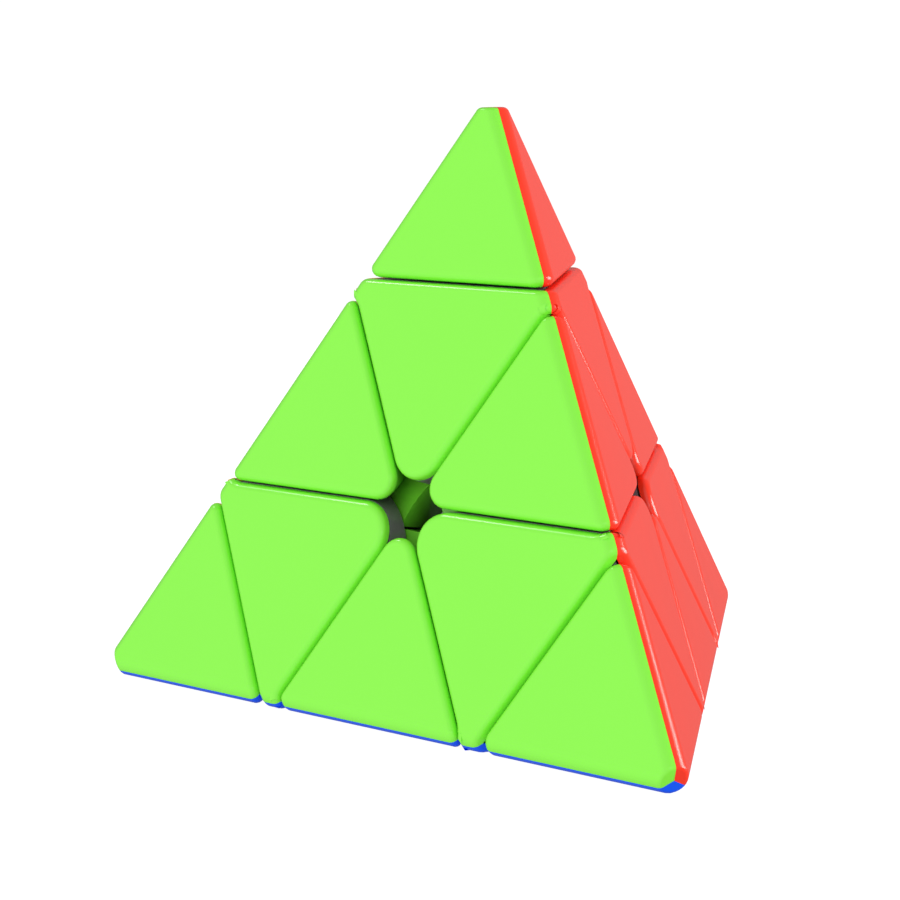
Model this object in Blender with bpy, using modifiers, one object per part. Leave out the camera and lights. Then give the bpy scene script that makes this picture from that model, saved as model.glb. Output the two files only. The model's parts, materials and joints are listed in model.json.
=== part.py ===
"""Pyramid twisty puzzle: four corner pieces with turning tips and six edge pieces on a core.

The puzzle is a regular tetrahedron. Its centre is the origin, one corner points up, and the
green face looks towards -Y. Every moving piece turns about one of the four lines from the
centre to a corner. A layer is cut off by a plane square to its line; inside the hub sphere
each layer ends on a cone about the same line, so a turning layer never touches its neighbours.
"""
import math

import bmesh
import bpy
from mathutils import Matrix, Vector

# Driving dimensions, in metres
EDGE = 0.1054                # side of the sharp tetrahedron, before its edges are rounded
GAP = 0.0003                 # clearance between neighbouring pieces
RIDGE_RADIUS = 0.0021        # rounding along the pyramid's edges
POINT_CUT = 0.0056           # how much is cut off each sharp corner
SHARP_RIM = 0.0015           # outline chamfer where the wall slopes back under the face
BLUNT_RIM = 0.0008           # outline chamfer where the wall slopes outwards
POINT_RIM = 0.0006           # edge of the screw heads
OVERLAP = 0.0011             # how far two shapes run into each other before they are joined
AXIAL_HOLE_RADIUS = 0.0040   # rounding of the axial pieces' corners around each face centre
EDGE_HOLE_RADIUS = 0.0030    # rounding of the edge pieces' corners there
CORNER_CUT = 0.0021          # how far an edge piece's outer corner is cut back along the edge
CORNER_RADIUS = 0.0025       # rounding beside that cut
CAP_THICKNESS = 0.0015       # coloured caps on the axial hubs
TIP_THICKNESS = 0.0025       # coloured shells of the tips

# Mechanism, in metres and degrees
BALL_RADIUS = 0.0115         # core ball, inside the feet
FOOT_RADIUS = 0.0170         # top of the feet, under the hubs
FOOT_CONE = 79.0             # half angle of the layer boundary between ball and foot radius
FOOT_SLACK = 0.5             # how far a foot's sides stay off that boundary
STEM_CONE = 29.5             # half angle of a hub's stem
ARM_RADIUS = 0.0026
ARM_TOP = 0.0150
SCREW_BORE = 0.0015
SCREW_BORE_FLOOR = 0.0055
HUB_ARM_BORE = 0.0029
HUB_ARM_BORE_TOP = 0.0153
HUB_SHANK_BORE = 0.0016
HUB_POCKET_FLOOR = 0.0193
HUB_POCKET_RADIUS = 0.0043
POST_RADIUS = 0.0039
POST_END = 0.0312
SCREW_SHANK = 0.0012
SCREW_END = 0.0070
SCREW_HEAD_RADIUS = 0.0036
SCREW_HEAD_FLOOR = 0.0273
SCREW_HEAD_TOP = 0.0295
RECESS_ARM = 0.0021
RECESS_WIDTH = 0.0007
RECESS_DEPTH = 0.0012
WASHER_INNER = 0.0016
WASHER_OUTER = 0.0039
WASHER_FLOOR = 0.0266
WASHER_TOP = 0.0270
SPRING_RADIUS = 0.0034       # to the middle of the wire
SPRING_WIRE = 0.00035        # radius of the wire
SPRING_FLOOR = 0.0200
SPRING_TOP = 0.0259
SPRING_TURNS = 4

# Fineness of the round surfaces
RIDGE_STEPS = 3
HOLE_STEPS = 3
CORNER_STEPS = 1
TURN_STEPS = 20
BALL_STEPS = 28
CONE_STEPS = 48
COIL_STEPS = 8
ARC_STEPS = 6
SMOOTH_BELOW = 30.0          # degrees between faces that are shaded as one surface
END_REACH = 0.008            # how far the space beyond an axial corner spreads sideways
END_DEPTH = 0.007            # and how far down it goes
SHARE_MARGIN = 0.004         # how far past its partings a share is shaped before it is cut
BLOCK_SIZE = 0.20            # the block that a faceted piece is sliced from
BALL_TILT = 7.0              # degrees, so that a ball's facets line up with no bore
WELD = 2e-6                  # points closer than this are one point
CUT_SNAP = 1e-7              # a slicing plane snaps to points nearer than this
SAME_PLANE = 1e-4            # how nearly a mesh face has to lie in a plane to count as on it

FACE = EDGE * math.sqrt(6) / 12      # distance from the centre to a face
LAYER = FACE / 3                     # distance to the cut below a layer
TIP = FACE * 5 / 3                   # distance to the cut below a tip
CORNER = EDGE / 6 - CORNER_CUT       # half length of an edge piece, along the pyramid's edge

AXES = {
    "top": Vector((0, 0, 1)),
    "left": Vector((-math.sqrt(2 / 3), -math.sqrt(2) / 3, -1 / 3)),
    "right": Vector((math.sqrt(2 / 3), -math.sqrt(2) / 3, -1 / 3)),
    "back": Vector((0, math.sqrt(8) / 3, -1 / 3)),
}
# Each face is named for its colour and found by the corner opposite it
FACES = {"green": "back", "red": "left", "blue": "top", "yellow": "right"}

# Colour, roughness, metallic
FINISHES = {
    "green": ((0.20, 0.87, 0.05), 0.30, 0.0),
    "red": ((0.95, 0.07, 0.05), 0.30, 0.0),
    "blue": ((0.01, 0.08, 0.85), 0.30, 0.0),
    "yellow": ((0.95, 0.72, 0.01), 0.30, 0.0),
    "grey_plastic": ((0.16, 0.17, 0.16), 0.45, 0.0),
    "white_plastic": ((0.80, 0.80, 0.78), 0.40, 0.0),
    "zinc_steel": ((0.62, 0.62, 0.60), 0.30, 1.0),
    "spring_steel": ((0.45, 0.45, 0.46), 0.35, 1.0),
}


def collection(name):
    made = bpy.data.collections.new(name)
    bpy.context.scene.collection.children.link(made)
    return made


def finish_material(name):
    colour, roughness, metallic = FINISHES[name]
    material = bpy.data.materials.new(name)
    material.use_nodes = True
    shader = material.node_tree.nodes["Principled BSDF"]
    shader.inputs["Base Color"].default_value = (*colour, 1.0)
    shader.inputs["Roughness"].default_value = roughness
    shader.inputs["Metallic"].default_value = metallic
    return material


def normal_of(face):
    return -AXES[FACES[face]]


# Flat-sided pieces: a block sliced by planes. A plane is (normal, distance) and keeps the
# points whose dot product with the normal is no more than the distance.

def flipped(plane):
    normal, distance = plane
    return -normal, -distance


def rounding(first, second, radius, steps):
    """Planes that touch a cylinder of this radius, itself touching both planes."""
    turn = first[0].rotation_difference(second[0])
    planes = []
    for step in range(1, steps + 1):
        part_turn = Matrix.Rotation(turn.angle * step / (steps + 1), 3, turn.axis)
        normal = part_turn @ first[0]
        dot = first[0].dot(second[0])
        from_second = (normal.dot(second[0]) - dot * normal.dot(first[0])) / (1 - dot * dot)
        from_first = normal.dot(first[0]) - dot * from_second
        centre = from_first * (first[1] - radius) + from_second * (second[1] - radius)
        planes.append((normal, centre + radius))
    return planes


def is_on(face, planes):
    """Whether a mesh face lies in one of the planes."""
    middle = face.calc_center_median()
    return any(face.normal.dot(normal) > 1 - SAME_PLANE
               and abs(middle.dot(normal) - distance) < SAME_PLANE * FACE
               for normal, distance in planes)


def rimmed(mesh, skin, width):
    """Chamfers the outline where the outer surface meets the walls."""
    piece = bmesh.new()
    piece.from_mesh(mesh)
    bmesh.ops.dissolve_limit(piece, angle_limit=SAME_PLANE, verts=piece.verts[:],
                             edges=piece.edges[:])
    outer = {face for face in piece.faces if is_on(face, skin)}
    rims = [edge for edge in piece.edges if len(outer.intersection(edge.link_faces)) == 1]
    bmesh.ops.bevel(piece, geom=rims, offset=width, offset_type="OFFSET", segments=1,
                    profile=0.5, affect="EDGES", clamp_overlap=True)
    piece.to_mesh(mesh)
    piece.free()
    return mesh


def sliced(planes):
    """A mesh: what is left of the block when every plane has cut it."""
    block = bmesh.new()
    bmesh.ops.create_cube(block, size=BLOCK_SIZE)
    for normal, distance in planes:
        everything = block.verts[:] + block.edges[:] + block.faces[:]
        bmesh.ops.bisect_plane(block, geom=everything, dist=CUT_SNAP, plane_co=normal * distance,
                               plane_no=normal, clear_outer=True)
        rims = [edge for edge in block.edges if edge.is_boundary]
        bmesh.ops.holes_fill(block, edges=rims, sides=0)
    mesh = bpy.data.meshes.new("sliced")
    block.to_mesh(mesh)
    block.free()
    return welded(mesh)


def skin_planes(faces):
    """The outer planes of some faces, with the rounded pyramid edges between them."""
    flats = [(normal_of(face), FACE) for face in faces]
    planes = list(flats)
    for index, first in enumerate(flats):
        for second in flats[index + 1:]:
            planes += rounding(first, second, RIDGE_RADIUS, RIDGE_STEPS)
    return planes


def parting(face, other):
    """Keeps the face's own side of the plane through the edge that it shares with another."""
    normal = (normal_of(other) - normal_of(face)).normalized()
    return normal, -GAP / 2


# Turned pieces

def turned(profile, closed):
    """A profile of (radius, height) points about Z; its outer side runs from top to bottom."""
    mesh = bpy.data.meshes.new("profile")
    points = [(radius, 0, height) for radius, height in profile]
    edges = [(index, index + 1) for index in range(len(points) - 1)]
    if closed:
        edges.append((len(points) - 1, 0))
    mesh.from_pydata(points, edges, [])
    shape = bpy.data.objects.new("profile", mesh)
    CUTTERS.objects.link(shape)
    screw = shape.modifiers.new("turn", "SCREW")
    screw.steps = TURN_STEPS
    screw.render_steps = TURN_STEPS
    screw.use_merge_vertices = True
    screw.merge_threshold = WELD
    return flattened(shape)


def flattened(shape):
    """The object's mesh with its modifiers worked in; the object itself is removed."""
    bpy.context.view_layer.update()
    evaluated = shape.evaluated_get(bpy.context.evaluated_depsgraph_get())
    mesh = bpy.data.meshes.new_from_object(evaluated)
    bpy.data.objects.remove(shape)
    return mesh


def welded(mesh):
    """Closes the hairline splits between points that lie on each other."""
    piece = bmesh.new()
    piece.from_mesh(mesh)
    bmesh.ops.remove_doubles(piece, verts=piece.verts[:], dist=WELD)
    bmesh.ops.dissolve_degenerate(piece, edges=piece.edges[:], dist=WELD)
    bmesh.ops.recalc_face_normals(piece, faces=piece.faces[:])
    piece.to_mesh(mesh)
    piece.free()
    return mesh


def rotated(mesh, axis):
    """Turns a mesh made about Z onto one of the puzzle's axes."""
    mesh.transform(Vector((0, 0, 1)).rotation_difference(axis).to_matrix().to_4x4())
    return mesh


def combined(mesh, tools):
    """The mesh after each (operation, mesh) pair has been added, cut away or intersected."""
    shape = bpy.data.objects.new("shape", mesh)
    CUTTERS.objects.link(shape)
    helpers = []
    for operation, tool in tools:
        helper = bpy.data.objects.new("tool", tool)
        CUTTERS.objects.link(helper)
        helper.hide_render = True
        helper.display_type = "WIRE"
        helpers.append(helper)
        boolean = shape.modifiers.new("boolean", "BOOLEAN")
        boolean.operation = operation
        boolean.solver = "EXACT"
        boolean.object = helper
    result = welded(flattened(shape))
    for helper in helpers:
        bpy.data.objects.remove(helper)
    return result


def ball(radius):
    """A sphere."""
    shape = bmesh.new()
    tilt = Matrix.Rotation(math.radians(BALL_TILT), 4, Vector((3, 1, 0)))
    bmesh.ops.create_uvsphere(shape, u_segments=BALL_STEPS, v_segments=BALL_STEPS // 2,
                              radius=radius, matrix=tilt)
    mesh = bpy.data.meshes.new("ball")
    shape.to_mesh(mesh)
    shape.free()
    return mesh


def cone(axis, half_angle, height):
    """A solid cone with its point at the centre of the puzzle, opening along the axis."""
    shape = bmesh.new()
    width = height * math.tan(math.radians(half_angle))
    bmesh.ops.create_cone(shape, cap_ends=True, segments=CONE_STEPS, radius1=0.0,
                          radius2=width, depth=height,
                          matrix=Matrix.Translation((0, 0, height / 2)))
    mesh = bpy.data.meshes.new("cone")
    shape.to_mesh(mesh)
    shape.free()
    return rotated(mesh, axis)


def box(size_x, size_y, size_z, middle):
    shape = bmesh.new()
    scale = Matrix.Diagonal((size_x, size_y, size_z, 1.0))
    bmesh.ops.create_cube(shape, size=1.0, matrix=Matrix.Translation((0, 0, middle)) @ scale)
    mesh = bpy.data.meshes.new("box")
    shape.to_mesh(mesh)
    shape.free()
    return mesh


# Turns of the tetrahedron onto itself, which take a piece to its other places

def frame_of(first, second):
    """Right-handed axes from two of the puzzle's axes."""
    across = (second - second.dot(first) * first).normalized()
    return Matrix((first, across, first.cross(across))).transposed()


def turn_between(start, end):
    """The rotation that takes one pair of the puzzle's axes to another."""
    return frame_of(AXES[end[0]], AXES[end[1]]) @ frame_of(AXES[start[0]], AXES[start[1]]).inverted()


# The pieces, each made once in its reference place

def cut_apart(mesh, own, others, thickness):
    """One face's share of a piece: its own side of the partings, down to the shell's inside."""
    planes = [parting(own, other) for other in others]
    planes.append(flipped((normal_of(own), FACE - thickness)))
    return combined(mesh, [("INTERSECT", sliced(planes))])


def tip_shell():
    """The green shell of the top tip."""
    outer = skin_planes(("green", "red", "yellow"))
    outer.append((AXES["top"], 3 * FACE - POINT_CUT))
    base = (-AXES["top"], -(TIP + GAP / 2))
    body = rimmed(sliced(outer + [base]), outer, SHARP_RIM)
    return cut_apart(body, "green", ("red", "yellow"), TIP_THICKNESS)


def tip_hub():
    """The inner pyramid of the top tip, with the post that turns in the hub below."""
    inner = FACE - TIP_THICKNESS - GAP
    point = 3 * FACE - POINT_CUT - TIP_THICKNESS - GAP
    planes = [(normal_of(face), inner) for face in ("green", "red", "yellow")]
    planes += [(-AXES["top"], -(TIP + GAP / 2)), (AXES["top"], point)]
    root = TIP + OVERLAP
    post = turned([(0, root), (POST_RADIUS, root), (POST_RADIUS, POST_END), (0, POST_END)], False)
    return combined(sliced(planes), [("UNION", post)])


def axial_walls():
    """The walls of an axial piece towards the layers of the three corners below it."""
    return [(AXES[corner], LAYER - GAP / 2) for corner in ("left", "right", "back")]


def in_green_face(vector):
    """The part of a vector that lies in the green face's plane."""
    outward = normal_of("green")
    return vector - outward * outward.dot(vector)


def green_corner():
    """Rounds the top axial piece's corner at the green face's centre.

    The planes beside the walls lean with them; towards the middle they stand square to the face.
    """
    outward = normal_of("green")
    left, right, _ = axial_walls()
    middle = in_green_face(left[0] + right[0])
    wall = in_green_face(left[0])
    steepest = outward.dot(left[0]) / wall.length
    planes = []
    for normal, distance in rounding(left, right, AXIAL_HOLE_RADIUS, HOLE_STEPS):
        across = in_green_face(normal)
        at_face = (distance - outward.dot(normal) * FACE) / across.length
        tilt = steepest * (across.angle(middle) / wall.angle(middle)) ** 2
        tilted = across.normalized() + outward * tilt
        planes.append((tilted.normalized(), (at_face + tilt * FACE) / tilted.length))
    return planes


def meeting(planes):
    """The point where three planes meet."""
    rows = Matrix([normal for normal, _ in planes])
    return rows.inverted() @ Vector([distance for _, distance in planes])


def corner_end(face):
    """The block of space beyond the end of the top axial piece's corner at a face's centre."""
    planes = green_corner()
    outward = normal_of("green")
    first_side = (planes[0][0].cross(outward)).normalized()
    last_side = (outward.cross(planes[-1][0])).normalized()
    away = in_green_face(planes[0][0] + planes[-1][0]).normalized() * END_REACH * 2
    points = []
    for level in (FACE + OVERLAP, FACE - END_DEPTH):
        arc = [meeting((first, second, (outward, level)))
               for first, second in zip(planes, planes[1:])]
        ends = [arc[0] + first_side * END_REACH, arc[-1] + last_side * END_REACH]
        points += [ends[0]] + arc + [ends[1], ends[1] + away, ends[0] + away]
    count = len(points) // 2
    shape = bmesh.new()
    verts = [shape.verts.new(point) for point in points]
    shape.faces.new(verts[:count])
    shape.faces.new(verts[count:])
    for index in range(count):
        follower = (index + 1) % count
        shape.faces.new([verts[number] for number in (index, follower, follower + count,
                                                      index + count)])
    mesh = bpy.data.meshes.new("corner_end")
    shape.to_mesh(mesh)
    shape.free()
    mesh = welded(mesh)
    mesh.transform(turn_between(("top", "back"), ("top", FACES[face])).to_4x4())
    return mesh


def edge_space(corner):
    """The wedge beyond an axial piece's wall that its neighbouring edge piece fills."""
    along = (AXES["top"] - AXES[corner]).normalized()
    wall = (AXES[corner], LAYER - GAP / 2)
    return sliced([flipped(wall), (along, CORNER + GAP / 2)])


def axial_cap():
    """The green cap of the top axial piece, with a lip around each edge piece's corner."""
    outer = skin_planes(("green", "red", "yellow"))
    top = (AXES["top"], TIP - GAP / 2)
    near = [(parting("green", other)[0], SHARE_MARGIN) for other in ("red", "yellow")]
    body = combined(sliced(outer + [top] + green_corner() + near),
                    [("DIFFERENCE", edge_space(corner)) for corner in ("left", "right", "back")])
    return cut_apart(rimmed(body, outer, BLUNT_RIM), "green", ("red", "yellow"), CAP_THICKNESS)


def axial_hub():
    """The top hub: the body under the caps, a stem on the core ball, and the screw's pocket."""
    inner = FACE - CAP_THICKNESS - GAP
    planes = [(normal_of(face), inner) for face in ("green", "red", "yellow")]
    planes += axial_walls() + [(AXES["top"], TIP - GAP / 2), (-AXES["top"], -(LAYER + GAP / 2))]
    floor = BALL_RADIUS + GAP / 2
    root = FOOT_RADIUS + OVERLAP
    angle = math.radians(STEM_CONE)
    profile = [(0, root), (root * math.tan(angle), root)]
    for step in range(ARC_STEPS + 1):
        part = angle * (1 - step / ARC_STEPS)
        profile.append((floor * math.sin(part), floor * math.cos(part)))
    stem = turned(profile, False)
    top = TIP + OVERLAP
    pocket = turned([(0, top), (HUB_POCKET_RADIUS, top),
                     (HUB_POCKET_RADIUS, HUB_POCKET_FLOOR), (HUB_SHANK_BORE, HUB_POCKET_FLOOR),
                     (HUB_SHANK_BORE, HUB_ARM_BORE_TOP), (HUB_ARM_BORE, HUB_ARM_BORE_TOP),
                     (HUB_ARM_BORE, BALL_RADIUS - OVERLAP), (0, BALL_RADIUS - OVERLAP)],
                    False)
    ends = [("DIFFERENCE", corner_end(face)) for face in ("green", "red", "yellow")]
    hollow = ("DIFFERENCE", ball(FOOT_RADIUS + GAP / 2))
    return combined(sliced(planes), ends + [hollow, ("UNION", stem), ("DIFFERENCE", pocket)])


def edge_half():
    """The green half of the edge piece between the left and right corners, with its foot."""
    outer = skin_planes(("green", "blue"))
    left = (-AXES["left"], -(LAYER + GAP / 2))
    right = (-AXES["right"], -(LAYER + GAP / 2))
    along = (AXES["left"] - AXES["right"]).normalized()
    left_end = (along, CORNER - GAP / 2)
    right_end = (-along, CORNER - GAP / 2)
    walls = [left, right, left_end, right_end]
    walls += rounding(left, right, EDGE_HOLE_RADIUS, HOLE_STEPS)
    walls += rounding(right, left_end, CORNER_RADIUS, CORNER_STEPS)
    walls += rounding(left, right_end, CORNER_RADIUS, CORNER_STEPS)
    block = rimmed(sliced(outer + walls), outer, SHARP_RIM)
    narrow, wide = FOOT_CONE - FOOT_SLACK, FOOT_CONE + FOOT_SLACK
    foot = combined(ball(FOOT_RADIUS - GAP / 2), [
        ("INTERSECT", cone(AXES["left"], narrow, FOOT_RADIUS)),
        ("INTERSECT", cone(AXES["right"], narrow, FOOT_RADIUS)),
        ("DIFFERENCE", cone(AXES["top"], wide, FOOT_RADIUS)),
        ("DIFFERENCE", cone(AXES["back"], wide, FOOT_RADIUS)),
        ("DIFFERENCE", ball(BALL_RADIUS + GAP / 2))])
    own_side = sliced([parting("green", "blue")])
    return combined(block, [("UNION", foot), ("INTERSECT", own_side)])


def core():
    """The ball with four arms, each bored for a screw."""
    arms = []
    bores = []
    for axis in AXES.values():
        arm = turned([(0, ARM_TOP), (ARM_RADIUS, ARM_TOP), (ARM_RADIUS, ARM_RADIUS),
                      (0, ARM_RADIUS)], False)
        bore_top = ARM_TOP + OVERLAP
        bore = turned([(0, bore_top), (SCREW_BORE, bore_top), (SCREW_BORE, SCREW_BORE_FLOOR),
                       (0, SCREW_BORE_FLOOR)], False)
        arms.append(("UNION", rotated(arm, axis)))
        bores.append(("DIFFERENCE", rotated(bore, axis)))
    return combined(ball(BALL_RADIUS - GAP / 2), arms + bores)


def screw():
    """A pan head screw with a cross recess."""
    shoulder = SCREW_HEAD_TOP - POINT_RIM
    body = turned([(0, SCREW_HEAD_TOP), (SCREW_HEAD_RADIUS - POINT_RIM, SCREW_HEAD_TOP),
                   (SCREW_HEAD_RADIUS, shoulder), (SCREW_HEAD_RADIUS, SCREW_HEAD_FLOOR),
                   (SCREW_SHANK, SCREW_HEAD_FLOOR), (SCREW_SHANK, SCREW_END + SCREW_SHANK),
                   (0, SCREW_END)], False)
    middle = SCREW_HEAD_TOP
    cuts = [box(2 * RECESS_ARM, RECESS_WIDTH, 2 * RECESS_DEPTH, middle),
            box(RECESS_WIDTH, 2 * RECESS_ARM, 2 * RECESS_DEPTH, middle)]
    return combined(body, [("DIFFERENCE", cut) for cut in cuts])


def washer():
    return turned([(WASHER_OUTER, WASHER_TOP), (WASHER_OUTER, WASHER_FLOOR),
                   (WASHER_INNER, WASHER_FLOOR), (WASHER_INNER, WASHER_TOP)], True)


def spring():
    """A compression spring: a round wire along a helix."""
    curve = bpy.data.curves.new("coil", "CURVE")
    curve.dimensions = "3D"
    curve.bevel_depth = SPRING_WIRE
    curve.bevel_resolution = 1
    curve.use_fill_caps = True
    count = SPRING_TURNS * COIL_STEPS + 1
    line = curve.splines.new("POLY")
    line.points.add(count - 1)
    for index in range(count):
        angle = 2 * math.pi * index / COIL_STEPS
        height = SPRING_FLOOR + (SPRING_TOP - SPRING_FLOOR) * index / (count - 1)
        line.points[index].co = (SPRING_RADIUS * math.cos(angle),
                                 SPRING_RADIUS * math.sin(angle), height, 1.0)
    shape = bpy.data.objects.new("coil", curve)
    CUTTERS.objects.link(shape)
    return welded(flattened(shape))


# Placing the copies

def place(name, mesh, finish, turn):
    piece = bpy.data.objects.new(name, mesh)
    PARTS.objects.link(piece)
    piece.matrix_world = turn.to_4x4()
    if not mesh.materials:
        mesh.materials.append(MATERIALS[finish])
    piece.material_slots[0].link = "OBJECT"
    piece.material_slots[0].material = MATERIALS[finish]
    return piece


def smooth(mesh):
    mesh.shade_smooth()
    mesh.set_sharp_from_angle(angle=math.radians(SMOOTH_BELOW))
    return mesh


def place_corner_pieces():
    """Tips, axial caps and hubs, with the screws, washers and springs inside them."""
    by_face = {"tip": tip_shell(), "cap": axial_cap()}
    inner = {
        "tip_hub": (tip_hub(), "grey_plastic"),
        "hub": (axial_hub(), "grey_plastic"),
        "screw": (screw(), "zinc_steel"),
        "washer": (washer(), "zinc_steel"),
        "spring": (spring(), "spring_steel"),
    }
    for mesh, _ in inner.values():
        smooth(mesh)
    for corner in AXES:
        other = "back" if corner != "back" else "top"
        turn = turn_between(("top", "back"), (corner, other))
        for part, (mesh, finish) in inner.items():
            place(f"{part}_{corner}", mesh, finish, turn)
        for colour, opposite in FACES.items():
            if opposite == corner:
                continue
            turn = turn_between(("top", "back"), (corner, opposite))
            for part, mesh in by_face.items():
                place(f"{part}_{corner}_{colour}", mesh, colour, turn)


def place_edge_pieces():
    mesh = smooth(edge_half())
    for colour, opposite in FACES.items():
        for corner in AXES:
            if corner == opposite:
                continue
            ends = [name for name in AXES if name not in (corner, opposite)]
            turn = turn_between(("back", "top"), (opposite, corner))
            place(f"edge_{ends[0]}_{ends[1]}_{colour}", mesh, colour, turn)


for leftover in list(bpy.data.objects):
    bpy.data.objects.remove(leftover)
PARTS = collection("pyramid_twisty_puzzle")
CUTTERS = collection("cutters")
MATERIALS = {name: finish_material(name) for name in FINISHES}
place("core", smooth(core()), "white_plastic", Matrix.Identity(3))
place_corner_pieces()
place_edge_pieces()
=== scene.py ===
"""Looks of a pyramid twisty puzzle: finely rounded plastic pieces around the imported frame.

The puzzle is a regular tetrahedron round the frame's origin. One corner points up, and the
green face looks towards -Y. Every piece is bounded by planes square to the four lines from the
centre to the corners, so one piece of each kind is made, and turned copies fill the other places.
"""
import json
import math

import bmesh
import bpy
from mathutils import Matrix, Vector


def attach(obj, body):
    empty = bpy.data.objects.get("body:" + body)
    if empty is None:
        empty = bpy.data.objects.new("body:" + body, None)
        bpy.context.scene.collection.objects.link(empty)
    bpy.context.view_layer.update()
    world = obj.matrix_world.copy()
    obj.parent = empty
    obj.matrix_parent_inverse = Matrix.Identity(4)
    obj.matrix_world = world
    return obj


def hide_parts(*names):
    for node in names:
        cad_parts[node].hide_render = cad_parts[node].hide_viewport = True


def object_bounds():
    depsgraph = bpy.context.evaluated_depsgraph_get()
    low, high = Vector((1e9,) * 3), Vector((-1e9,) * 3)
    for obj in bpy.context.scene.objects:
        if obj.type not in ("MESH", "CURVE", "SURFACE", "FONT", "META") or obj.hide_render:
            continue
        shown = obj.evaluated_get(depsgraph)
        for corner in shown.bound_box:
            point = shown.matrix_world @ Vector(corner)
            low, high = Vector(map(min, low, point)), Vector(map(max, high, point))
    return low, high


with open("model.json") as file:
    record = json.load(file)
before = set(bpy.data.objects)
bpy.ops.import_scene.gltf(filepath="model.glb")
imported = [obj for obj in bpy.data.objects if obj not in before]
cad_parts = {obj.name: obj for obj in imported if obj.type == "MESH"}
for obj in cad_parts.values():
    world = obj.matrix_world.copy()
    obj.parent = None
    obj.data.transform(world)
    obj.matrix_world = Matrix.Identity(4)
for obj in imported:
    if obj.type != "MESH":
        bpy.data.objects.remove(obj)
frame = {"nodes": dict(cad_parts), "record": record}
cad_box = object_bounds()

# Driving dimensions, in metres
FACE = -cad_box[0].z         # distance from the centre to a face
GAP = 0.0003                 # clearance between neighbouring pieces
SEAM = 0.00001               # between the colours of one piece
RIDGE_RADIUS = 0.0023        # rounding along the pyramid's edges
RIM_RADIUS = 0.0011          # rounding along the outline of each face
POINT_CUT = 0.0056           # how much is cut off each sharp corner
POINT_RIM = 0.0009           # rounding round that cut
AXIAL_HOLE_RADIUS = 0.0040   # rounding of the axial pieces' corners around each face centre
EDGE_HOLE_RADIUS = 0.0030    # rounding of the edge pieces' corners there
CORNER_CUT = 0.0021          # how far an edge piece's outer corner is cut back along the edge
CORNER_RADIUS = 0.0025       # rounding beside that cut
CAP_THICKNESS = 0.0015       # coloured caps on the axial hubs
TIP_THICKNESS = 0.0025       # coloured shells of the tips
OVERLAP = 0.0011             # how far two shapes run into each other before they are joined

# Mechanism, in metres and degrees
BALL_RADIUS = 0.0115         # core ball, inside the feet
FOOT_RADIUS = 0.0170         # top of the feet, under the hubs
FOOT_CONE = 79.0             # half angle of the layer boundary between ball and foot radius
FOOT_SLACK = 0.5             # how far a foot's sides stay off that boundary
STEM_CONE = 29.5             # half angle of a hub's stem
ARM_RADIUS = 0.0026
ARM_TOP = 0.0150
SCREW_BORE = 0.0015
SCREW_BORE_FLOOR = 0.0055
HUB_ARM_BORE = 0.0029
HUB_ARM_BORE_TOP = 0.0153
HUB_SHANK_BORE = 0.0016
HUB_POCKET_FLOOR = 0.0193
HUB_POCKET_RADIUS = 0.0043

# Surfaces
PLASTIC_GLOSS = 0.24         # roughness of the coloured plastic
CLOUD_SCALE = 45.0           # noise cells per metre in the clouding of a colour
GLOSS_SCALE = 120.0          # and in the changes of its gloss
GRAIN_SCALE = 2200.0         # and in its fine grain
GLOSS_SPREAD = 0.03          # how much the roughness changes, as a share of itself
GRAIN_DEPTH = 0.0001         # metres
NOISE_LOW = 0.3              # nearly all of a noise texture's values lie between these two
NOISE_HIGH = 0.7
# Painted shade on the coloured pieces: their colour darkens towards the centre, where their
# neighbours close them in
DARK_RADIUS = 0.0135         # the coloured pieces are darkest this far from the centre, in metres
LIT_RADIUS = 0.0195          # and have their full colour out here
INSIDE_SHADE = 0.12          # what is left of the colour where it is darkest

# Fineness of the round surfaces
RIDGE_STEPS = 9              # odd, so that a seam runs along the middle of a strip
RIM_STEPS = 5
POINT_STEPS = 3
CORNER_STEPS = 8
HOLE_STEPS = 12
TURN_STEPS = 64
BALL_STEPS = 96
CONE_STEPS = 128
ARC_STEPS = 12
END_REACH = 0.008            # how far the space beyond an axial corner spreads sideways
END_DEPTH = 0.007            # and how far down it goes
SHARE_MARGIN = 0.004         # how far past its seams a share is shaped before it is cut
BLOCK_SIZE = 0.20            # the block that a piece is sliced from
BALL_TILT = 7.0              # degrees, so that a ball's facets line up with no bore
BALL_TILT_AXIS = Vector((3, 1, 0))
SMOOTH_BELOW = 30.0          # degrees between faces that are shaded as one surface
NORMAL_WEIGHT = 100          # lets the large faces set the shading at a shared corner
WELD = 1e-6                  # points closer than this are one point
CUT_SNAP = 1e-8              # a slicing plane snaps to points nearer than this
FLAT_ANGLE = 1e-4            # radians; faces that meet at less than this are made one
SAME_WAY = 1e-5              # how nearly a face points a plane's way to count as lying in it
SAME_PLACE = 2e-6            # and how near its middle is to the plane
PLACE_DIGITS = 7             # decimals of a metre that are kept of each point's place

# Floor, lamps and camera, in metres
FLOOR_RADIUS = 0.45
FLOOR_DROP = 0.00002         # how far the floor stays below the puzzle
FLOOR_STEPS = 96
LAMP_DISTANCE = 0.9
WORLD_FADE = -0.2            # how far behind the puzzle its surroundings reach their dimmest
BACKDROP = 1.05              # strength of the white that the camera sees

LAYER = FACE / 3                     # distance to the cut below a layer
TIP = FACE * 5 / 3                   # distance to the cut below a tip
POINT = FACE * 3                     # distance to a corner of the sharp tetrahedron
EDGE = FACE * 12 / math.sqrt(6)      # side of the sharp tetrahedron
CORNER = EDGE / 6 - CORNER_CUT       # half length of an edge piece, along the pyramid's edge

AXES = {
    "top": Vector((0, 0, 1)),
    "left": Vector((-math.sqrt(2 / 3), -math.sqrt(2) / 3, -1 / 3)),
    "right": Vector((math.sqrt(2 / 3), -math.sqrt(2) / 3, -1 / 3)),
    "back": Vector((0, math.sqrt(8) / 3, -1 / 3)),
}
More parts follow.
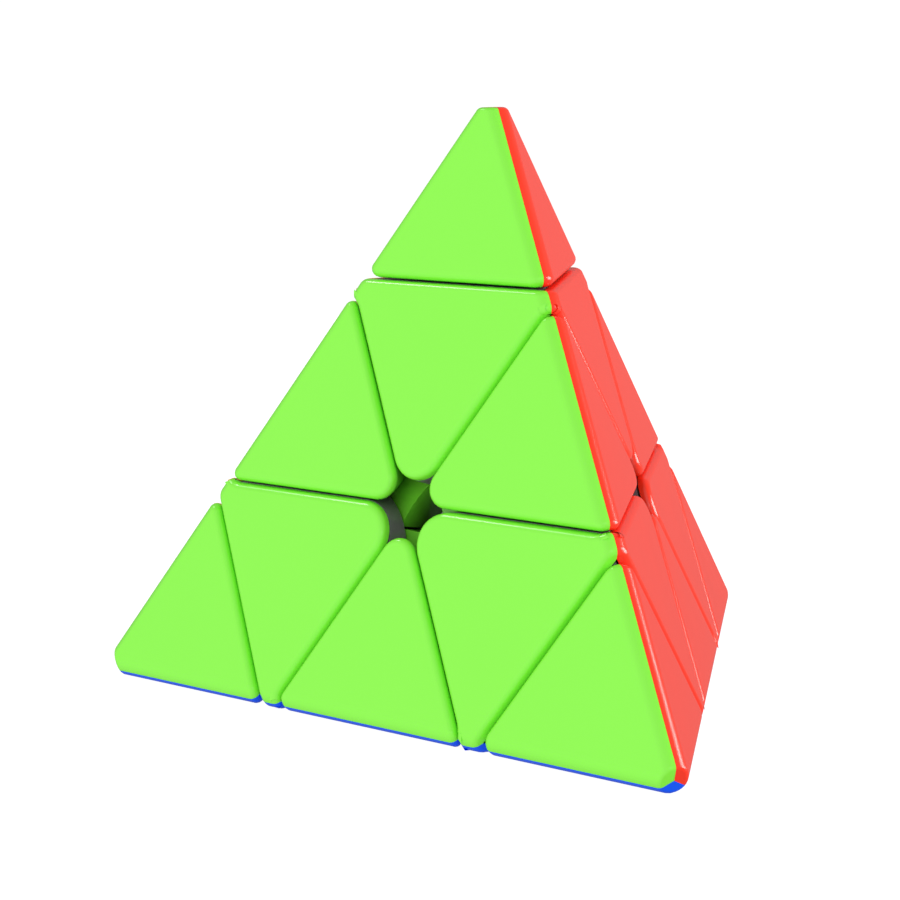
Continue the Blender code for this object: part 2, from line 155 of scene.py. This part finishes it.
# Each face is named for its colour and found by the corner opposite it
FACES = {"green": "back", "red": "left", "blue": "top", "yellow": "right"}

scene = bpy.context.scene


# Materials

def noise(tree, scale, detail):
    """A noise texture in the piece's own space."""
    place = tree.nodes.new("ShaderNodeTexCoord")
    texture = tree.nodes.new("ShaderNodeTexNoise")
    texture.inputs["Scale"].default_value = scale
    texture.inputs["Detail"].default_value = detail
    tree.links.new(place.outputs["Object"], texture.inputs["Vector"])
    return texture.outputs["Fac"]


def spread(tree, value, low, high):
    """A noise value stretched to run from low to high."""
    stretch = tree.nodes.new("ShaderNodeMapRange")
    stretch.inputs["From Min"].default_value = NOISE_LOW
    stretch.inputs["From Max"].default_value = NOISE_HIGH
    stretch.inputs["To Min"].default_value = low
    stretch.inputs["To Max"].default_value = high
    tree.links.new(value, stretch.inputs["Value"])
    return stretch.outputs["Result"]


def painted_inner_shade(tree, colour, inside):
    """The colour with painted shade, darker towards the core where neighbours close the pieces in.
    """
    place = tree.nodes.new("ShaderNodeTexCoord")
    radius = tree.nodes.new("ShaderNodeVectorMath")
    radius.operation = "LENGTH"
    tree.links.new(place.outputs["Object"], radius.inputs[0])
    shade = tree.nodes.new("ShaderNodeMapRange")
    shade.inputs["From Min"].default_value = DARK_RADIUS
    shade.inputs["From Max"].default_value = LIT_RADIUS
    shade.inputs["To Min"].default_value = inside
    shade.inputs["To Max"].default_value = 1.0
    tree.links.new(radius.outputs["Value"], shade.inputs["Value"])
    darkened = tree.nodes.new("ShaderNodeVectorMath")
    darkened.operation = "SCALE"
    tree.links.new(colour, darkened.inputs[0])
    tree.links.new(shade.outputs["Result"], darkened.inputs["Scale"])
    return darkened.outputs["Vector"]


def finish(name, colour, roughness=PLASTIC_GLOSS, metallic=0.0, clouding=0.004, grain=0.003,
           ior=1.5, inside=1.0):
    """A moulded or machined surface: faint clouding of its colour and gloss, a fine grain, and,
    unless inside is 1, painted shade towards the core.
    """
    material = bpy.data.materials.new(name)
    material.use_nodes = True
    tree = material.node_tree
    shader = tree.nodes["Principled BSDF"]
    shader.inputs["Metallic"].default_value = metallic
    shader.inputs["IOR"].default_value = ior
    mix = tree.nodes.new("ShaderNodeMix")
    mix.data_type = "RGBA"
    dark, light = (socket for socket in mix.inputs if socket.type == "RGBA")
    dark.default_value = (*[part * (1 - clouding) for part in colour], 1.0)
    light.default_value = (*[min(1.0, part * (1 + clouding)) for part in colour], 1.0)
    clouds = noise(tree, CLOUD_SCALE, detail=3.0)
    tree.links.new(spread(tree, clouds, 0.0, 1.0), mix.inputs["Factor"])
    result = next(socket for socket in mix.outputs if socket.type == "RGBA")
    # painted shade: the base colour darkens towards the core
    tree.links.new(painted_inner_shade(tree, result, inside), shader.inputs["Base Color"])
    gloss = spread(tree, noise(tree, GLOSS_SCALE, detail=4.0),
                   roughness * (1 - GLOSS_SPREAD), roughness * (1 + GLOSS_SPREAD))
    tree.links.new(gloss, shader.inputs["Roughness"])
    bump = tree.nodes.new("ShaderNodeBump")
    bump.inputs["Strength"].default_value = grain
    bump.inputs["Distance"].default_value = GRAIN_DEPTH
    tree.links.new(noise(tree, GRAIN_SCALE, detail=2.0), bump.inputs["Height"])
    tree.links.new(bump.outputs["Normal"], shader.inputs["Normal"])
    return material


# The four colours get painted shade towards the core through INSIDE_SHADE
MATERIALS = {
    "green": finish("gloss_green", (0.232, 0.87, 0.046), inside=INSIDE_SHADE),
    "red": finish("gloss_red", (0.95, 0.036, 0.012), inside=INSIDE_SHADE),
    "blue": finish("gloss_blue", (0.006, 0.098, 0.93), ior=1.3, inside=INSIDE_SHADE),
    "yellow": finish("gloss_yellow", (0.95, 0.66, 0.010), inside=INSIDE_SHADE),
    "grey_plastic": finish("satin_grey", (0.16, 0.155, 0.16), 0.38, grain=0.08),
    "white_plastic": finish("satin_white", (0.78, 0.78, 0.75), 0.40, grain=0.08),
    "zinc_steel": finish("zinc_plate", (0.62, 0.63, 0.64), 0.28, metallic=1.0, clouding=0.06),
    "spring_steel": finish("spring_wire", (0.42, 0.42, 0.44), 0.32, metallic=1.0, clouding=0.06),
}


# Shapes bounded by planes. A plane is (normal, distance) and keeps the points whose dot product
# with the normal is no more than the distance.

def normal_of(face):
    return -AXES[FACES[face]]


def flipped(plane):
    normal, distance = plane
    return -normal, -distance


def rounding(first, second, radius, steps):
    """Planes that touch a cylinder of this radius, itself touching both planes."""
    turn = first[0].rotation_difference(second[0])
    dot = first[0].dot(second[0])
    planes = []
    for step in range(1, steps + 1):
        normal = Matrix.Rotation(turn.angle * step / (steps + 1), 3, turn.axis) @ first[0]
        from_second = (normal.dot(second[0]) - dot * normal.dot(first[0])) / (1 - dot * dot)
        from_first = normal.dot(first[0]) - dot * from_second
        centre = from_first * (first[1] - radius) + from_second * (second[1] - radius)
        planes.append((normal, centre + radius))
    return planes


def cut(block, planes):
    """Cuts away what lies beyond each plane; the new faces remember their planes' numbers."""
    source = block.faces.layers.int.new("plane")
    for face in block.faces:
        face[source] = -1
    for number, (normal, distance) in enumerate(planes):
        everything = block.verts[:] + block.edges[:] + block.faces[:]
        bmesh.ops.bisect_plane(block, geom=everything, dist=CUT_SNAP, plane_co=normal * distance,
                               plane_no=normal, clear_outer=True)
        rims = [edge for edge in block.edges if edge.is_boundary]
        for face in bmesh.ops.holes_fill(block, edges=rims, sides=0)["faces"]:
            face[source] = number
    return block


def sliced(planes):
    """What is left of a block when every plane has cut it."""
    block = bmesh.new()
    bmesh.ops.create_cube(block, size=BLOCK_SIZE)
    return cut(block, planes)


def fillets(skin, walls, radius, steps=RIM_STEPS):
    """Planes that round every edge where a plane of the skin meets one of the walls."""
    block = sliced(skin + walls)
    source = block.faces.layers.int["plane"]
    pairs = set()
    for edge in block.edges:
        low, high = sorted(face[source] for face in edge.link_faces)
        if 0 <= low < len(skin) <= high:
            pairs.add((low, high - len(skin)))
    block.free()
    return [plane for low, high in sorted(pairs)
            for plane in rounding(skin[low], walls[high], radius, steps)]


def as_mesh(shape):
    """A mesh from a bmesh, with the points that lie on each other made one."""
    bmesh.ops.remove_doubles(shape, verts=shape.verts[:], dist=WELD)
    bmesh.ops.dissolve_degenerate(shape, edges=shape.edges[:], dist=WELD)
    bmesh.ops.recalc_face_normals(shape, faces=shape.faces[:])
    mesh = bpy.data.meshes.new("shape")
    shape.to_mesh(mesh)
    shape.free()
    return mesh


def skin_planes(faces):
    """The outer planes of some faces, with the rounded pyramid edges between them."""
    flats = [(normal_of(face), FACE) for face in faces]
    planes = list(flats)
    for index, first in enumerate(flats):
        for second in flats[index + 1:]:
            planes += rounding(first, second, RIDGE_RADIUS, RIDGE_STEPS)
    return planes


def seam(face, other):
    """Keeps the face's own side of the plane through the edge that it shares with another."""
    normal = (normal_of(other) - normal_of(face)).normalized()
    return normal, -SEAM / 2


def own_share(own, others, thickness):
    """The planes that leave one face's share of a piece: its own side of the seams."""
    return [seam(own, other) for other in others] + [flipped((normal_of(own), FACE - thickness))]


# Turned shapes, balls and cones

def flattened(shape):
    """The object's mesh with its modifiers worked in; the object itself is removed."""
    bpy.context.view_layer.update()
    evaluated = shape.evaluated_get(bpy.context.evaluated_depsgraph_get())
    mesh = bpy.data.meshes.new_from_object(evaluated)
    bpy.data.objects.remove(shape)
    return mesh


def added(name, data):
    """A new object in the scene."""
    shape = bpy.data.objects.new(name, data)
    scene.collection.objects.link(shape)
    return shape


def combined(mesh, tools):
    """The mesh after each (operation, mesh) pair has been added, cut away or intersected."""
    shape = added("shape", mesh)
    helpers = []
    for operation, tool in tools:
        helper = added("tool", tool)
        helpers.append(helper)
        boolean = shape.modifiers.new("boolean", "BOOLEAN")
        boolean.operation = operation
        boolean.solver = "EXACT"
        boolean.object = helper
    result = flattened(shape)
    for helper in helpers:
        bpy.data.objects.remove(helper)
    piece = bmesh.new()
    piece.from_mesh(result)
    return as_mesh(piece)


def turned(profile):
    """A profile of (radius, height) points about Z; its outer side runs from top to bottom."""
    mesh = bpy.data.meshes.new("profile")
    points = [(radius, 0, height) for radius, height in profile]
    mesh.from_pydata(points, [(index, index + 1) for index in range(len(points) - 1)], [])
    shape = added("profile", mesh)
    screw = shape.modifiers.new("turn", "SCREW")
    screw.steps = TURN_STEPS
    screw.render_steps = TURN_STEPS
    screw.use_merge_vertices = True
    screw.merge_threshold = WELD
    return flattened(shape)


def rotated(mesh, axis):
    """Turns a mesh made about Z onto one of the puzzle's axes."""
    mesh.transform(Vector((0, 0, 1)).rotation_difference(axis).to_matrix().to_4x4())
    return mesh


def ball(radius):
    shape = bmesh.new()
    tilt = Matrix.Rotation(math.radians(BALL_TILT), 4, BALL_TILT_AXIS)
    bmesh.ops.create_uvsphere(shape, u_segments=BALL_STEPS, v_segments=BALL_STEPS // 2,
                              radius=radius, matrix=tilt)
    return as_mesh(shape)


def cone(axis, half_angle, height):
    """A solid cone with its point at the centre of the puzzle, opening along the axis."""
    shape = bmesh.new()
    width = height * math.tan(math.radians(half_angle))
    bmesh.ops.create_cone(shape, cap_ends=True, segments=CONE_STEPS, radius1=0.0,
                          radius2=width, depth=height,
                          matrix=Matrix.Translation((0, 0, height / 2)))
    return rotated(as_mesh(shape), axis)


# Turns of the tetrahedron onto itself, which take a piece to its other places

def frame_of(first, second):
    """Right-handed axes from two of the puzzle's axes."""
    across = (second - second.dot(first) * first).normalized()
    return Matrix((first, across, first.cross(across))).transposed()


def turn_between(start, end):
    """The rotation that takes one pair of the puzzle's axes to another."""
    start_frame = frame_of(AXES[start[0]], AXES[start[1]])
    end_frame = frame_of(AXES[end[0]], AXES[end[1]])
    return end_frame @ start_frame.inverted()


# The pieces, each made once in its reference place

def tip_shell():
    """The green shell of the top tip."""
    skin = skin_planes(("green", "red", "yellow"))
    base = [(-AXES["top"], -(TIP + GAP / 2))]
    point = [(AXES["top"], POINT - POINT_CUT)]
    planes = skin + base + point + fillets(skin, base, RIM_RADIUS)
    planes += fillets(skin, point, POINT_RIM, POINT_STEPS)
    return as_mesh(sliced(planes + own_share("green", ("red", "yellow"), TIP_THICKNESS)))


def axial_walls():
    """The walls of an axial piece towards the layers of the three corners below it."""
    return [(AXES[corner], LAYER - GAP / 2) for corner in ("left", "right", "back")]


def in_green_face(vector):
    """The part of a vector that lies in the green face's plane."""
    outward = normal_of("green")
    return vector - outward * outward.dot(vector)


def green_corner():
    """Rounds the top axial piece's corner at the green face's centre.

    The planes beside the walls lean with them; towards the middle they stand square to the face.
    """
    outward = normal_of("green")
    left, right, _ = axial_walls()
    middle = in_green_face(left[0] + right[0])
    wall = in_green_face(left[0])
    steepest = outward.dot(left[0]) / wall.length
    planes = []
    for normal, distance in rounding(left, right, AXIAL_HOLE_RADIUS, HOLE_STEPS):
        across = in_green_face(normal)
        at_face = (distance - outward.dot(normal) * FACE) / across.length
        tilt = steepest * (across.angle(middle) / wall.angle(middle)) ** 2
        tilted = across.normalized() + outward * tilt
        planes.append((tilted.normalized(), (at_face + tilt * FACE) / tilted.length))
    return planes


def meeting(planes):
    """The point where three planes meet."""
    rows = Matrix([normal for normal, _ in planes])
    return rows.inverted() @ Vector([distance for _, distance in planes])


def corner_end(face):
    """The block of space beyond the end of the top axial piece's corner at a face's centre."""
    planes = green_corner()
    outward = normal_of("green")
    first_side = (planes[0][0].cross(outward)).normalized()
    last_side = (outward.cross(planes[-1][0])).normalized()
    away = in_green_face(planes[0][0] + planes[-1][0]).normalized() * END_REACH * 2
    points = []
    for level in (FACE + OVERLAP, FACE - END_DEPTH):
        arc = [meeting((first, second, (outward, level)))
               for first, second in zip(planes, planes[1:])]
        ends = [arc[0] + first_side * END_REACH, arc[-1] + last_side * END_REACH]
        points += [ends[0]] + arc + [ends[1], ends[1] + away, ends[0] + away]
    count = len(points) // 2
    shape = bmesh.new()
    verts = [shape.verts.new(point) for point in points]
    shape.faces.new(verts[:count])
    shape.faces.new(verts[count:])
    for index in range(count):
        follower = (index + 1) % count
        shape.faces.new([verts[number] for number in (index, follower, follower + count,
                                                      index + count)])
    mesh = as_mesh(shape)
    mesh.transform(turn_between(("top", "back"), ("top", FACES[face])).to_4x4())
    return mesh


def edge_space(corner):
    """The wedge beyond an axial piece's wall that its neighbouring edge piece fills."""
    along = (AXES["top"] - AXES[corner]).normalized()
    wall = flipped((AXES[corner], LAYER - GAP / 2))
    end = (along, CORNER + GAP / 2)
    corner_planes = rounding(wall, end, CORNER_RADIUS + GAP, CORNER_STEPS)
    return as_mesh(sliced([wall, end] + corner_planes))


def rim_bevelled(mesh, skin):
    """Rounds the outline where the outer surface meets the walls, at one radius all along."""
    piece = bmesh.new()
    piece.from_mesh(mesh)
    bmesh.ops.dissolve_limit(piece, angle_limit=FLAT_ANGLE, verts=piece.verts[:],
                             edges=piece.edges[:])
    weight = piece.edges.layers.float.new("bevel_weight_edge")

    def on_skin(face):
        middle = face.calc_center_median()
        return any(face.normal.dot(normal) > 1 - SAME_WAY
                   and abs(middle.dot(normal) - distance) < SAME_PLACE
                   for normal, distance in skin)

    outer = {face for face in piece.faces if on_skin(face)}
    widest = RIM_RADIUS * 2
    for edge in piece.edges:
        if len(outer.intersection(edge.link_faces)) == 1:
            first, second = edge.link_faces
            angle = first.normal.angle(second.normal)
            edge[weight] = RIM_RADIUS * math.tan(angle / 2) / widest
    piece.to_mesh(mesh)
    piece.free()
    shape = added("rim", mesh)
    bevel = shape.modifiers.new("rim", "BEVEL")
    bevel.limit_method = "WEIGHT"
    bevel.offset_type = "OFFSET"
    bevel.width = widest
    bevel.segments = RIM_STEPS + 1
    bevel.profile = 0.5
    bevel.use_clamp_overlap = False
    bevel.loop_slide = True
    return flattened(shape)


def axial_cap():
    """The green cap of the top axial piece, with a lip around each edge piece's corner."""
    skin = skin_planes(("green", "red", "yellow"))
    top = (AXES["top"], TIP - GAP / 2)
    near = [(normal, SHARE_MARGIN) for normal, _ in (seam("green", "red"), seam("green", "yellow"))]
    body = combined(as_mesh(sliced(skin + [top] + green_corner() + near)),
                    [("DIFFERENCE", edge_space(corner)) for corner in ("left", "right", "back")])
    cap = bmesh.new()
    cap.from_mesh(rim_bevelled(body, skin))
    return as_mesh(cut(cap, own_share("green", ("red", "yellow"), CAP_THICKNESS)))


def axial_hub():
    """The top hub: the body under the caps, a stem on the core ball, and the screw's pocket."""
    planes = [(normal_of(face), FACE - CAP_THICKNESS - GAP) for face in ("green", "red", "yellow")]
    planes += axial_walls() + [(AXES["top"], TIP - GAP / 2), (-AXES["top"], -(LAYER + GAP / 2))]
    floor = BALL_RADIUS + GAP / 2
    root = FOOT_RADIUS + OVERLAP
    angle = math.radians(STEM_CONE)
    profile = [(0, root), (root * math.tan(angle), root)]
    for step in range(ARC_STEPS + 1):
        part = angle * (1 - step / ARC_STEPS)
        profile.append((floor * math.sin(part), floor * math.cos(part)))
    top = TIP + OVERLAP
    pocket = turned([(0, top), (HUB_POCKET_RADIUS, top),
                     (HUB_POCKET_RADIUS, HUB_POCKET_FLOOR), (HUB_SHANK_BORE, HUB_POCKET_FLOOR),
                     (HUB_SHANK_BORE, HUB_ARM_BORE_TOP), (HUB_ARM_BORE, HUB_ARM_BORE_TOP),
                     (HUB_ARM_BORE, BALL_RADIUS - OVERLAP), (0, BALL_RADIUS - OVERLAP)])
    ends = [("DIFFERENCE", corner_end(face)) for face in ("green", "red", "yellow")]
    hollow = ("DIFFERENCE", ball(FOOT_RADIUS + GAP / 2))
    return combined(as_mesh(sliced(planes)),
                    ends + [hollow, ("UNION", turned(profile)), ("DIFFERENCE", pocket)])


def edge_half():
    """The green half of the edge piece between the left and right corners, with its foot."""
    skin = skin_planes(("green", "blue"))
    left = (-AXES["left"], -(LAYER + GAP / 2))
    right = (-AXES["right"], -(LAYER + GAP / 2))
    along = (AXES["left"] - AXES["right"]).normalized()
    left_end = (along, CORNER - GAP / 2)
    right_end = (-along, CORNER - GAP / 2)
    walls = [left, right, left_end, right_end]
    walls += rounding(left, right, EDGE_HOLE_RADIUS, CORNER_STEPS)
    walls += rounding(right, left_end, CORNER_RADIUS, CORNER_STEPS)
    walls += rounding(left, right_end, CORNER_RADIUS, CORNER_STEPS)
    block = as_mesh(sliced(skin + walls + fillets(skin, walls, RIM_RADIUS)))
    narrow, wide = FOOT_CONE - FOOT_SLACK, FOOT_CONE + FOOT_SLACK
    foot = combined(ball(FOOT_RADIUS - GAP / 2), [
        ("INTERSECT", cone(AXES["left"], narrow, FOOT_RADIUS)),
        ("INTERSECT", cone(AXES["right"], narrow, FOOT_RADIUS)),
        ("DIFFERENCE", cone(AXES["top"], wide, FOOT_RADIUS)),
        ("DIFFERENCE", cone(AXES["back"], wide, FOOT_RADIUS)),
        ("DIFFERENCE", ball(BALL_RADIUS + GAP / 2))])
    own_side = as_mesh(sliced([seam("green", "blue")]))
    return combined(block, [("UNION", foot), ("INTERSECT", own_side)])


def core():
    """The ball with four arms, each bored for a screw."""
    arms = []
    bores = []
    for axis in AXES.values():
        arm = turned([(0, ARM_TOP), (ARM_RADIUS, ARM_TOP), (ARM_RADIUS, ARM_RADIUS),
                      (0, ARM_RADIUS)])
        bore_top = ARM_TOP + OVERLAP
        bore = turned([(0, bore_top), (SCREW_BORE, bore_top), (SCREW_BORE, SCREW_BORE_FLOOR),
                       (0, SCREW_BORE_FLOOR)])
        arms.append(("UNION", rotated(arm, axis)))
        bores.append(("DIFFERENCE", rotated(bore, axis)))
    return combined(ball(BALL_RADIUS - GAP / 2), arms + bores)


# Placing the copies

BODY_OF = {node: body for body, nodes in frame["record"]["behaviour"]["bodies"].items()
           for node in nodes}


def listed_by_place(mesh):
    """The same mesh with its points and faces sorted, because a boolean lists them in any order."""
    points = [tuple(round(value, PLACE_DIGITS) for value in vertex.co) for vertex in mesh.vertices]
    order = sorted(range(len(points)), key=points.__getitem__)
    rank = {index: number for number, index in enumerate(order)}
    faces = []
    for polygon in mesh.polygons:
        corners = [rank[index] for index in polygon.vertices]
        first = corners.index(min(corners))
        faces.append(corners[first:] + corners[:first])
    listed = bpy.data.meshes.new("listed")
    listed.from_pydata([points[index] for index in order], [], sorted(faces))
    return listed


def place(node, mesh, slot, turn):
    """A copy of the mesh in the place of a CAD node, with the look of its material slot."""
    own = listed_by_place(mesh)
    own.transform(turn.to_4x4())
    own.materials.append(MATERIALS[slot])
    piece = added(f"{node}_moulded", own)
    own.shade_smooth()
    own.set_sharp_from_angle(angle=math.radians(SMOOTH_BELOW))
    normals = piece.modifiers.new("normals", "WEIGHTED_NORMAL")
    normals.keep_sharp = True
    normals.weight = NORMAL_WEIGHT
    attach(piece, BODY_OF[node])
    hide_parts(node)
    return piece


def place_corner_pieces():
    """The shells of the tips, and the caps and hubs of the axial pieces."""
    shell, cap, hub = tip_shell(), axial_cap(), axial_hub()
    for corner in AXES:
        other = "back" if corner != "back" else "top"
        place(f"hub_{corner}", hub, "grey_plastic", turn_between(("top", "back"), (corner, other)))
        for colour, opposite in FACES.items():
            if opposite != corner:
                turn = turn_between(("top", "back"), (corner, opposite))
                place(f"tip_{corner}_{colour}", shell, colour, turn)
                place(f"cap_{corner}_{colour}", cap, colour, turn)


def place_edge_pieces():
    half = edge_half()
    for colour, opposite in FACES.items():
        for corner in AXES:
            if corner == opposite:
                continue
            ends = [name for name in AXES if name not in (corner, opposite)]
            turn = turn_between(("back", "top"), (opposite, corner))
            place(f"edge_{ends[0]}_{ends[1]}_{colour}", half, colour, turn)


def finish_inner_nodes():
    """The small parts inside keep their CAD shapes and get their own finishes."""
    finishes = {"tip_hub": "grey_plastic", "screw": "zinc_steel", "washer": "zinc_steel",
                "spring": "spring_steel"}
    for part, slot in finishes.items():
        for corner in AXES:
            for material_slot in frame["nodes"][f"{part}_{corner}"].material_slots:
                material_slot.material = MATERIALS[slot]


place("core", core(), "white_plastic", Matrix.Identity(3))
place_corner_pieces()
place_edge_pieces()
finish_inner_nodes()


# Floor, light and camera

def floor_material():
    """Pale paper that is as bright as the backdrop."""
    material = bpy.data.materials.new("floor_paper")
    material.use_nodes = True
    tree = material.node_tree
    shader = tree.nodes["Principled BSDF"]
    shader.inputs["Roughness"].default_value = 0.9
    shader.inputs["Specular IOR Level"].default_value = 0.1
    shader.inputs["Base Color"].default_value = (0.20, 0.20, 0.20, 1.0)
    shader.inputs["Emission Color"].default_value = (1.0, 1.0, 1.0, 1.0)
    shader.inputs["Emission Strength"].default_value = 1.0
    return material


def make_floor():
    """A disc under the puzzle, which is left out of its reflections and of the light on it."""
    shape = bmesh.new()
    bmesh.ops.create_circle(shape, cap_ends=True, segments=FLOOR_STEPS, radius=FLOOR_RADIUS,
                            matrix=Matrix.Translation((0, 0, -FACE - FLOOR_DROP)))
    mesh = bpy.data.meshes.new("floor")
    shape.to_mesh(mesh)
    shape.free()
    mesh.materials.append(floor_material())
    floor = added("floor", mesh)
    floor.visible_glossy = False
    floor.visible_diffuse = False


def softbox(name, direction, size, power):
    """A square area light that looks at the puzzle from a direction."""
    light = bpy.data.lights.new(name, "AREA")
    light.shape = "SQUARE"
    light.size = size
    light.energy = power
    lamp = added(name, light)
    towards = Vector(direction).normalized()
    lamp.location = towards * LAMP_DISTANCE
    lamp.rotation_euler = towards.to_track_quat("Z", "Y").to_euler()


def make_camera(azimuth, elevation, roll, distance, aside, above, lens):
    """A camera that looks at the puzzle from an azimuth and elevation, moved in its own plane."""
    turn, tilt, lean = (math.radians(angle) for angle in (azimuth, elevation, roll))
    back = Vector((math.sin(turn) * math.cos(tilt), -math.cos(turn) * math.cos(tilt),
                   math.sin(tilt)))
    right = Vector((0, 0, 1)).cross(back).normalized()
    up = back.cross(right)
    rolled_right = math.cos(lean) * right + math.sin(lean) * up
    rolled_up = math.cos(lean) * up - math.sin(lean) * right
    data = bpy.data.cameras.new("camera")
    data.lens = lens
    data.sensor_width = 36.0
    data.clip_start = 0.01
    data.clip_end = 100.0
    camera = added("camera", data)
    rotation = Matrix((rolled_right, rolled_up, back)).transposed().to_4x4()
    place_at = back * distance + rolled_right * aside + rolled_up * above
    camera.matrix_world = Matrix.Translation(place_at) @ rotation
    scene.camera = camera


def make_world(front, dim, bright):
    """Soft light that grows towards the front; what the camera sees of it is white."""
    world = bpy.data.worlds.new("studio")
    world.use_nodes = True
    tree = world.node_tree
    light = tree.nodes["Background"]
    light.inputs["Color"].default_value = (1.0, 1.0, 1.0, 1.0)
    place = tree.nodes.new("ShaderNodeTexCoord")
    facing = tree.nodes.new("ShaderNodeVectorMath")
    facing.operation = "DOT_PRODUCT"
    facing.inputs[1].default_value = Vector(front).normalized()
    grow = tree.nodes.new("ShaderNodeMapRange")
    grow.inputs["From Min"].default_value = WORLD_FADE
    grow.inputs["From Max"].default_value = 1.0
    grow.inputs["To Min"].default_value = dim
    grow.inputs["To Max"].default_value = bright
    tree.links.new(place.outputs["Generated"], facing.inputs[0])
    tree.links.new(facing.outputs["Value"], grow.inputs["Value"])
    tree.links.new(grow.outputs["Result"], light.inputs["Strength"])
    backdrop = tree.nodes.new("ShaderNodeBackground")
    backdrop.inputs["Color"].default_value = (1.0, 1.0, 1.0, 1.0)
    backdrop.inputs["Strength"].default_value = BACKDROP
    path = tree.nodes.new("ShaderNodeLightPath")
    choose = tree.nodes.new("ShaderNodeMixShader")
    tree.links.new(path.outputs["Is Camera Ray"], choose.inputs[0])
    tree.links.new(light.outputs[0], choose.inputs[1])
    tree.links.new(backdrop.outputs[0], choose.inputs[2])
    tree.links.new(choose.outputs[0], tree.nodes["World Output"].inputs["Surface"])
    scene.world = world


make_floor()
make_world(front=(0.0, -1.0, 0.1), dim=0.27, bright=1.45)
softbox("side", direction=(1.0, 0.9, 0.25), size=0.5, power=9.0)
softbox("over", direction=(-0.63, 0.05, 0.78), size=0.08, power=0.8)
softbox("glint", direction=(0.775, -0.562, 0.292), size=0.05, power=0.3)
make_camera(azimuth=39.386, elevation=9.914, roll=-1.024, distance=0.34311,
            aside=-0.00681, above=0.011707, lens=98.49)
scene.view_settings.view_transform = "Standard"
